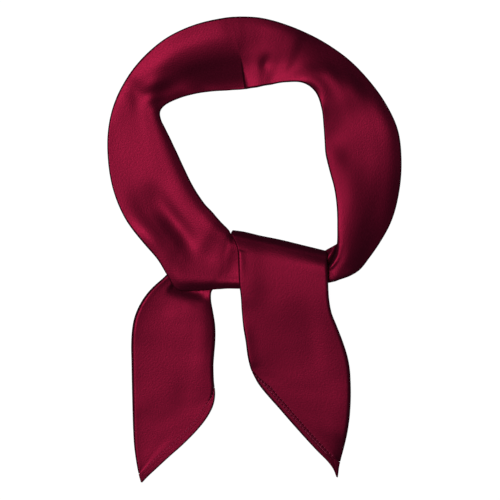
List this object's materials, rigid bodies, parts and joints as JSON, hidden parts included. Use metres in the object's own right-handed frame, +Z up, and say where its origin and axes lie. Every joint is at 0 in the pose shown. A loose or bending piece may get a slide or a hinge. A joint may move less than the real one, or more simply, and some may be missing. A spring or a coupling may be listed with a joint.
{
  "type": "silk square scarf",
  "caption": "Silk square folded into a soft bias band, looped and half-knotted, lying flat with its two pointed ends below the knot.",
  "frame": {"origin": "bottom centre of the bounding box, on the surface that the scarf lies on", "axes": "+Z up from that surface; +Y from the tips of the tails to the top of the loop; +X to the right, seen from above"},
  "size_m": [0.1912, 0.3026, 0.0126],
  "materials": {
    "silk_satin": "smooth satin weave, soft sheen",
    "rolled_hem": "rolled edge, sewn in matching thread"
  },
  "bodies": {
    "root": {"loop_band": "silk_satin", "front_tail": "silk_satin", "back_tail": "silk_satin", "knot_core": "silk_satin", "inner_tuck": "silk_satin", "front_tail_hem": "rolled_hem", "back_tail_hem": "rolled_hem"}
  },
  "joints": []
}
